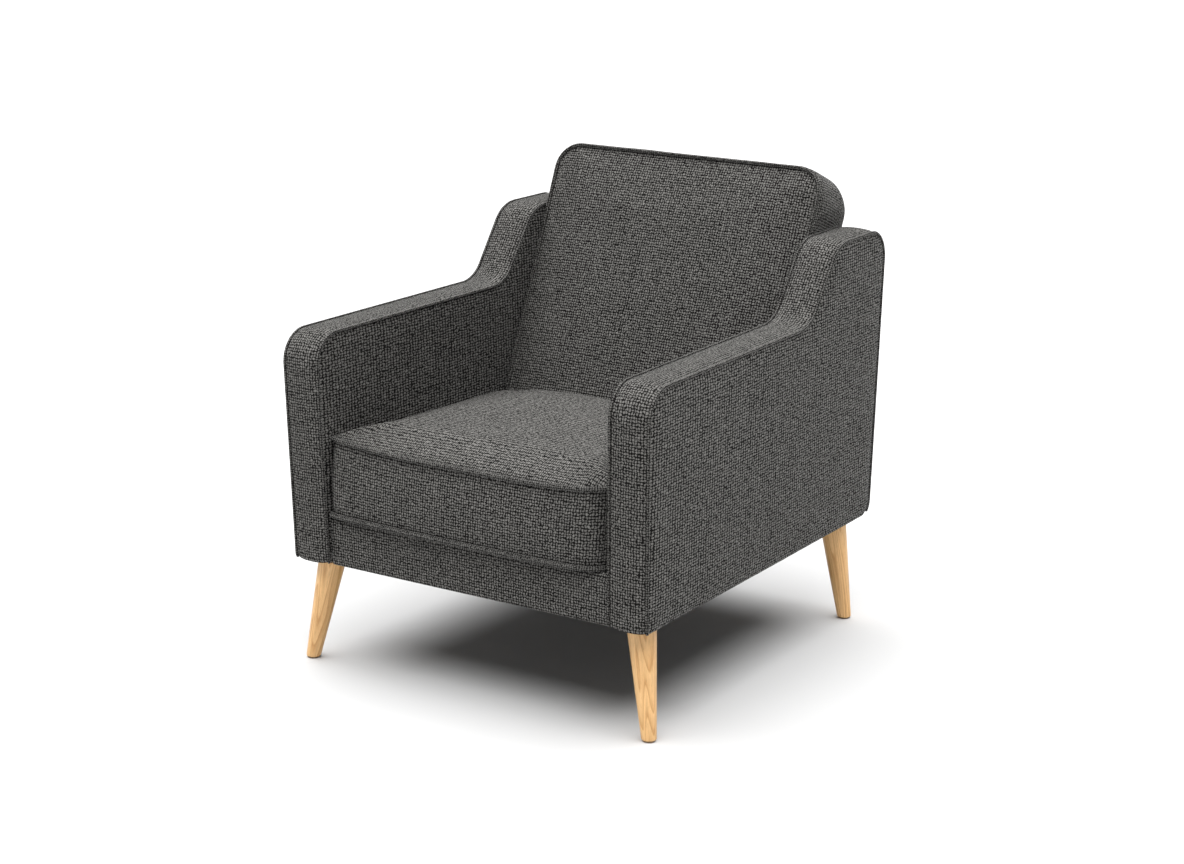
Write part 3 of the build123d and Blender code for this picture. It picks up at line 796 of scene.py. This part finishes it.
TAPE_ACROSS = (-0.0110, -0.0108, -0.0060, -0.0030, 0.0, 0.0030, 0.0060, 0.0108, 0.0110)
TAPE_LIFTS = (0.0001, 0.0010, 0.0011, 0.0014, 0.0015, 0.0014, 0.0011, 0.0010, 0.0001)
TOOTH_PITCH = 0.0022


def make_zip():
    """Zip across the rear of the seat cushion's boxing: tape, coil and slider, laid on the cover."""
    low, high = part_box("seat_zip")
    cover = bpy.data.objects["seat_cushion_cover"]

    def on_cover(x, z, lift):
        _, spot, _, _ = cover.ray_cast(Vector((x, high.y + 0.05, z)), Vector((0, -1, 0)))
        return np.array(spot + Vector((0, lift, 0)))

    columns = np.linspace(low.x, high.x, 180)
    middle = (low.z + high.z) / 2
    strip = [[on_cover(x, middle + dz, lift) for dz, lift in zip(TAPE_ACROSS, TAPE_LIFTS)] for x in columns]
    tape = slab("seat_zip_tape", np.array(strip), 0.0006)
    black = plain_cloth("zip_tape_weave", (0.02, 0.02, 0.02), 0.0012)
    finish_piece(tape, "seat_cushion", black, ["seat_zip"])
    teeth = np.linspace(low.x + 0.006, high.x - 0.006, 1400)
    turn = 2 * math.pi * teeth / TOOTH_PITCH
    path = np.array([on_cover(x, middle, 0.0024) for x in teeth])
    path[:, 1] += 0.0007 * np.cos(turn)
    path[:, 2] += 0.0020 * np.sin(turn)
    coil = tube("seat_zip_coil", path, 0.0005, sides=6)
    finish_piece(coil, "seat_cushion", moulded("zip_coil_nylon", (0.03, 0.03, 0.03)))
    spot = on_cover(high.x - 0.012, middle, 0.0042)
    body = [spot + np.array((dx, 0, 0)) for dx in np.linspace(-0.0055, 0.0055, 12)]
    slider = tube("seat_zip_slider", body, 0.0034, sides=16)
    for vertex in slider.data.vertices:
        vertex.co.y = spot[1] + (vertex.co.y - spot[1]) * 0.55
    finish_piece(slider, "seat_cushion", steel("zip_slider_metal"))


# ------------ back
UP_BACK = np.array((0, math.sin(BACK_RECLINE), math.cos(BACK_RECLINE)))
INTO_BACK = np.array((0, math.cos(BACK_RECLINE), -math.sin(BACK_RECLINE)))
BACK_ACROSS = np.array((1.0, 0, 0))


def back_point(x, depth, up):
    """From across, depth behind the front plane and distance up the back, to its place."""
    x, depth, up = np.broadcast_arrays(x, depth, up)
    across = np.array(BACK_EDGE) + x[..., None] * BACK_ACROSS
    return across + depth[..., None] * INTO_BACK + up[..., None] * UP_BACK


BACK_TOP = -0.0015
BACK_FOOT = -0.600
BACK_TOP_R = 0.046
BACK_SIDE_R, BACK_REAR_R = 0.020, 0.050
BACK_FOOT_R = 0.05
BACK_GAP_TOP, BACK_GAP_LOW = 0.0055, 0.0065  # from an arm to the side seam
BACK_FREE_FROM, BACK_FREE_FADE, BACK_FREE = 0.735, 0.02, 0.004  # above the wings it swells past them
BACK_SEAM_DEPTH = 0.0045  # the panel's seam lies this far behind the front plane
BACK_CROWN, BACK_CROWN_REACH, BACK_DOME = 0.009, 0.014, 0.006


def back_loop(side_inset, top_inset, foot):
    """Outline of the back, drawn in at its sides and top, as four stretches from the bottom one."""
    high = back_point(0, 0, BACK_TOP)
    half_top = inner_x(high[1], high[2]) - BACK_GAP_TOP - side_inset
    low = back_point(0, 0, foot)
    half_low = inner_x(low[1], low[2]) - BACK_GAP_LOW - side_inset
    top = BACK_TOP - top_inset
    corners = [(-half_low, foot), (half_low, foot), (half_top, top), (-half_top, top)]
    outline, middles = rounded_outline(corners, (BACK_FOOT_R, BACK_FOOT_R, BACK_TOP_R, BACK_TOP_R))
    return sections(outline, middles, (88, 96, 88, 96))


def rounding(depth, radius):
    """How far an edge with that radius at the rear draws in at a depth."""
    into = np.clip(depth - (BACK_THICKNESS - radius), 0, radius)
    return radius - math.sqrt(radius**2 - into**2)


def back_rings():
    """Depth, side inset and top inset of each ring of the boxing, from the front seam rearwards."""
    depths = [0, 0.003, 0.008, 0.018, 0.032, 0.050, 0.066, 0.080, 0.092, 0.102, 0.110, 0.1165, 0.1210, 0.1240]
    depths += [0.1254, BACK_THICKNESS]
    rings = []
    for depth in depths:
        proud = float(swell(depth, 0.0048, 0.006))
        rings.append((depth, rounding(depth, BACK_SIDE_R) - proud, rounding(depth, BACK_REAR_R) - proud))
    return rings


def make_back():
    shell = Shell()
    loops = []
    for depth, side_inset, top_inset in back_rings():
        foot = BACK_FOOT + depth * math.tan(BACK_RECLINE)
        loops.append((depth, back_loop(side_inset, top_inset, foot)))
    front = loops[0][1]
    panel = coons(front[0], front[2][::-1], front[3][::-1], front[1])
    loop = resample(np.vstack(front), 1800)
    distance = distance_to(panel, loop)
    place = back_point(panel[..., 0], 0, panel[..., 1])
    height_share = np.clip(-panel[..., 1] / 0.6, 0, 1)
    middle = np.clip(1 - (panel[..., 0] / 0.29) ** 2, 0, 1) * np.sin(np.pi * np.clip(height_share, 0, 1))
    lift = swell(distance, BACK_CROWN, BACK_CROWN_REACH) + BACK_DOME * middle
    lift += pucker(distance, place, 41.0) + waves(place, 0.0015, 0.14, 6.0, distance, 0.04)
    shell.grid(back_point(panel[..., 0], BACK_SEAM_DEPTH - lift, panel[..., 1]), panel)

    travel = 0.0
    travels = [0.0]
    for (d0, l0), (d1, l1) in zip(loops, loops[1:]):
        travel += math.hypot(d1 - d0, l1[2][40][1] - l0[2][40][1])
        travels.append(travel)
    drift = 0.0010 * np.array((0, 0.3, 1.0))
    off_seam = (np.arange(len(loops)) > 0)[None, :, None]
    depths = [BACK_SEAM_DEPTH, *(depth for depth, _ in loops[1:])]
    for k in range(4):
        rings = [back_point(loop[k][:, 0], d, loop[k][:, 1]) for d, (_, loop) in zip(depths, loops)]
        wall = np.stack(rings, 1)
        wall = wall + wander(wall, 0.11, 15.0)[..., None] * drift * off_seam
        weave = net(along(front[k]), travels)
        shell.grid(wall, weave)
    depth, last = loops[-1]
    rear = coons(last[0], last[2][::-1], last[3][::-1], last[1])
    rear_distance = distance_to(rear, resample(np.vstack(last), 1200))
    place = back_point(rear[..., 0], depth + swell(rear_distance, 0.003, 0.03), rear[..., 1])
    place = place + wander(place, 0.11, 15.0)[..., None] * drift
    shell.grid(place, rear)
    seam = resample(np.vstack(front), 3000)
    stitched = np.vstack([back_point(seam[:, 0], BACK_SEAM_DEPTH, seam[:, 1]), place.reshape(-1, 3)])
    cover = settle(shell.build("back_cover"), stitched, keep_in_back)
    finish_piece(cover, "chair", FABRIC, ["back_front_panel", "back_boxing", "back_foam"])
    line = np.vstack([front[0], front[1][1:], front[2][1:], front[3][1:]])
    line = resample(line, 760)
    cord = tube("back_welt", back_point(line[:, 0], 0.0015, line[:, 1]), BACK_PIPING_R, closed=True, seed=2.0)
    finish_piece(cord, "chair", SHADED_PIPING, ["back_piping"])


def keep_in_back(points):
    """Flattens the back where it presses against the arms' inner sides."""
    limit = inner_x(points[:, 1], points[:, 2]) - CLEAR * 0.5
    limit = limit + BACK_FREE * np.clip((points[:, 2] - BACK_FREE_FROM) / BACK_FREE_FADE, 0, 1)
    points[:, 0] = np.clip(points[:, 0], -limit, limit)
    return points


# ------------ panels between the arms
def between(y, z, columns, clearance):
    """One row of points across the gap between the arms."""
    half = inner_x(y, z) - clearance
    x = np.linspace(-half, half, columns)
    return np.column_stack([x, np.full(columns, y), np.full(columns, z)])


OUTSIDE_BACK_WIDTH, OUTSIDE_BACK_COLUMNS = 0.56, 90
OUTSIDE_BACK_FOOT, OUTSIDE_BACK_RISE = 0.20, 0.49


def make_outside_back():
    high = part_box("outside_back_panel")[1]
    under = BODY_BOTTOM - 0.0026
    side = [(0.340, under), (0.389, under)]
    side += [(high.y - 0.0012, high.z + 0.003), (high.y - 0.032, high.z + 0.004)]
    path = [np.array(side[0])]
    path += list(rounded_corner(side[0], side[1], side[2], 0.003, 8))
    path += list(rounded_corner(side[1], side[2], side[3], 0.019, 14))
    path += [np.array(side[3])]
    path = resample(path, 150)
    grid = np.stack([between(y, z, OUTSIDE_BACK_COLUMNS, 0.0011) for y, z in path])
    count = np.arange(OUTSIDE_BACK_COLUMNS)
    from_edge = np.minimum(count, count[::-1]) / (OUTSIDE_BACK_COLUMNS - 1) * OUTSIDE_BACK_WIDTH
    up = np.clip((path[:, 1] - OUTSIDE_BACK_FOOT) / OUTSIDE_BACK_RISE, 0, 1)
    bulge = swell(from_edge, 0.0035, 0.02)[None] * np.sin(np.pi * up)[:, None] ** 0.5
    grid[..., 1] += bulge + 0.0006 * wander(grid, 0.12, 30.0)
    sheet = slab("outside_back_cloth", grid, 0.0022)
    finish_piece(sheet, "chair", FABRIC, ["outside_back_panel"])


def make_front_rail():
    low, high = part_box("front_rail_cover")
    under = low.z - 0.0022
    side = [(low.y + 0.040, under), (low.y, under), (low.y, high.z + 0.001), (high.y, high.z)]
    path = [np.array(side[0])]
    path += list(rounded_corner(side[0], side[1], side[2], 0.003, 8))
    path += list(rounded_corner(side[1], side[2], side[3], 0.009, 10))
    path += [np.array(side[3])]
    path = resample(path, 60)
    columns = 120
    grid = np.stack([between(y, z, columns, 0.0012) for y, z in path])
    on_front = np.clip((path[:, 1] - low.z) / 0.012, 0, 1) * np.clip((high.z - path[:, 1]) / 0.012, 0, 1)
    grid[..., 1] -= 0.0018 * on_front[:, None] + 0.0005 * wander(grid, 0.07, 50.0) * on_front[:, None]
    cover = slab("front_rail_upholstery", grid[::-1], 0.002)
    finish_piece(cover, "chair", FABRIC, ["front_rail_cover"])


def make_deck():
    low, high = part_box("deck_cloth")
    rows, columns = 60, 80
    path = np.column_stack([np.linspace(low.y - 0.001, high.y, rows), np.full(rows, high.z - 0.0006)])
    grid = np.stack([between(y, z, columns, 0.0015) for y, z in path])
    u = np.linspace(0, 1, rows)[:, None]
    v = np.linspace(0, 1, columns)[None]
    ribs = 0.5 + 0.5 * np.cos(2 * np.pi * (v - 0.5) * 5.6)
    sag = np.sin(np.pi * u) ** 0.6 * np.sin(np.pi * v) ** 0.5
    grid[..., 2] -= sag * (0.0012 + 0.0006 * (1 - ribs))
    cloth = slab("deck_lining", grid, 0.0012)
    weave = plain_cloth("deck_weave", (0.028, 0.028, 0.028))
    finish_piece(cloth, "chair", weave, ["deck_cloth"])


def make_dust_cloth():
    low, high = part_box("dust_cover")
    rows, columns = 60, 60
    y = np.linspace(low.y, high.y, rows)
    half = np.interp(y, (low.y, high.y), (high.x, high.x - 0.016))
    x = np.linspace(-1, 1, columns)
    grid = np.zeros((rows, columns, 3))
    grid[..., 0] = half[:, None] * x[None]
    grid[..., 1] = y[:, None]
    u = np.linspace(0, 1, rows)[:, None]
    v = np.linspace(0, 1, columns)[None]
    sag = (np.sin(np.pi * u) * np.sin(np.pi * v)) ** 0.7
    folds = wander(np.stack([grid[..., 0], grid[..., 1] * 0.3, grid[..., 2]], -1), 0.05, 60.0)
    grid[..., 2] = ARM_UNDERSIDE - 0.0010 - sag * (0.0045 + 0.0010 * folds)
    cloth = slab("dust_cloth", grid[::-1], 0.0007)
    weave = plain_cloth("dust_weave", (0.022, 0.022, 0.022), 0.0012)
    finish_piece(cloth, "chair", weave, ["dust_cover"])


# ------------ carried-over frame nodes
def dress(node, material):
    piece = frame["nodes"][node]
    piece.data.materials.clear()
    piece.data.materials.append(material)


def dress_legs():
    for node in (n for n in frame["nodes"] if n.endswith("_leg")):
        points = np.array([v.co for v in frame["nodes"][node].data.vertices])
        low = points[points[:, 2] < points[:, 2].min() + 0.004].mean(0)
        high = points[points[:, 2] > points[:, 2].max() - 0.002].mean(0)
        dress(node, timber(f"oak_{node}", high - low, OAK_DARK, OAK_LIGHT))


def dress_frame():
    pine = timber("frame_timber_up", (0, 0, 1), PINE_DARK, PINE_LIGHT, gloss=0.6)
    pine_along = timber("frame_timber_along", (0, 1, 0), PINE_DARK, PINE_LIGHT, gloss=0.6)
    pine_across = timber("frame_timber_across", (1, 0, 0), PINE_DARK, PINE_LIGHT, gloss=0.6)
    ply = timber("plywood_face", (0, 1, 0), (0.56, 0.40, 0.22), (0.74, 0.58, 0.37), ring=22.0, gloss=0.65)
    metal = steel("spring_steel")
    looks = {
        "frame_wood": pine_across,
        "plywood": ply,
        "felt": plain_cloth("grey_felt", (0.16, 0.155, 0.15), 0.004),
        "webbing": plain_cloth("jute_webbing", (0.42, 0.34, 0.2), 0.003),
        "spring_steel": metal,
        "glide_plastic": moulded("glide_nylon", (0.30, 0.20, 0.11)),
    }
    for entry in frame["record"]["subparts"]:
        node, slot = entry["node"], entry["material_slot"]
        look = looks.get(slot)
        if node.endswith("_post"):
            look = pine
        elif node.endswith(("_arm_top_rail", "_arm_base_rail", "left_seat_rail", "right_seat_rail")):
            look = pine_along
        if look is not None:
            dress(node, look)


# ------------ studio
FLOOR_SIZE, FLOOR_TONES = 60.0, (0.545, 0.555)
SUN_TOWARDS, SUN_STRENGTH, SUN_SPREAD = (0.05, 0.0, -1.0), 7.5, 86
PAPER_BAND, PAPER_FADE, OVERHEAD_TONE = 0.06, 0.12, 0.18
CAMERA_AZIMUTH, CAMERA_ELEVATION = math.radians(33.76), math.radians(15.41)
CAMERA_PLACE, CAMERA_LENS = (2.4281, -3.6426, 1.5884), 77.74


def make_floor():
    line = np.linspace(-FLOOR_SIZE, FLOOR_SIZE, 8)
    x, y = np.meshgrid(line, line, indexing="ij")
    grid = np.stack([x, y, np.zeros_like(x)], -1)
    shell = Shell()
    shell.grid(grid, grid[..., :2])
    floor = shell.build("studio_floor")
    shader = Shader("studio_white", Roughness=0.9, Specular_IOR_Level=0.1)
    place = shader.place()
    tint = shader.ramp(shader.noise(place, 3.0), list(zip((0.3, 0.7), FLOOR_TONES)))
    floor.data.materials.append(shader.finish(tint))


def soft_sun(name, towards, strength, spread):
    """Even light over the whole floor, soft-edged as from a large overhead panel."""
    light = bpy.data.lights.new(name, "SUN")
    light.energy, light.angle = strength, math.radians(spread)
    lamp = bpy.data.objects.new(name, light)
    lamp.rotation_euler = Vector(towards).to_track_quat("-Z", "Y").to_euler()
    bpy.context.scene.collection.objects.link(lamp)


def make_studio():
    make_floor()
    world = bpy.data.worlds.new("studio")
    world.use_nodes = True
    tree = world.node_tree
    place = tree.nodes.new("ShaderNodeTexCoord")
    split = tree.nodes.new("ShaderNodeSeparateXYZ")
    tree.links.new(place.outputs["Generated"], split.inputs[0])
    paper = tree.nodes.new("ShaderNodeValToRGB")  # white paper behind the floor, dimmer overhead
    stops = ((PAPER_BAND, 1.0), (PAPER_FADE, OVERHEAD_TONE))
    for element, (height, tone) in zip(paper.color_ramp.elements, stops):
        element.position, element.color = height, (tone, tone, tone, 1)
    tree.links.new(split.outputs[2], paper.inputs["Fac"])
    tree.links.new(paper.outputs[0], tree.nodes["Background"].inputs["Color"])
    bpy.context.scene.world = world
    soft_sun("overhead_panel", SUN_TOWARDS, SUN_STRENGTH, SUN_SPREAD)
    bpy.context.scene.view_settings.view_transform = "Standard"


def make_camera():
    level = math.cos(CAMERA_ELEVATION)
    back = Vector(
        (math.sin(CAMERA_AZIMUTH) * level, -math.cos(CAMERA_AZIMUTH) * level, math.sin(CAMERA_ELEVATION))
    )
    lens = bpy.data.cameras.new("photo_view")
    lens.sensor_width, lens.lens = 36.0, CAMERA_LENS
    lens.clip_start, lens.clip_end = 0.1, 200.0
    camera = bpy.data.objects.new("photo_view", lens)
    camera.location = CAMERA_PLACE
    camera.rotation_euler = (-back).to_track_quat("-Z", "Y").to_euler()
    bpy.context.scene.collection.objects.link(camera)
    bpy.context.scene.camera = camera


make_camera()
make_studio()
dress_frame()
dress_legs()
for side_name in SIDES:
    make_arm(side_name)
make_seat()
make_zip()
make_back()
make_outside_back()
make_front_rail()
make_deck()
make_dust_cloth()
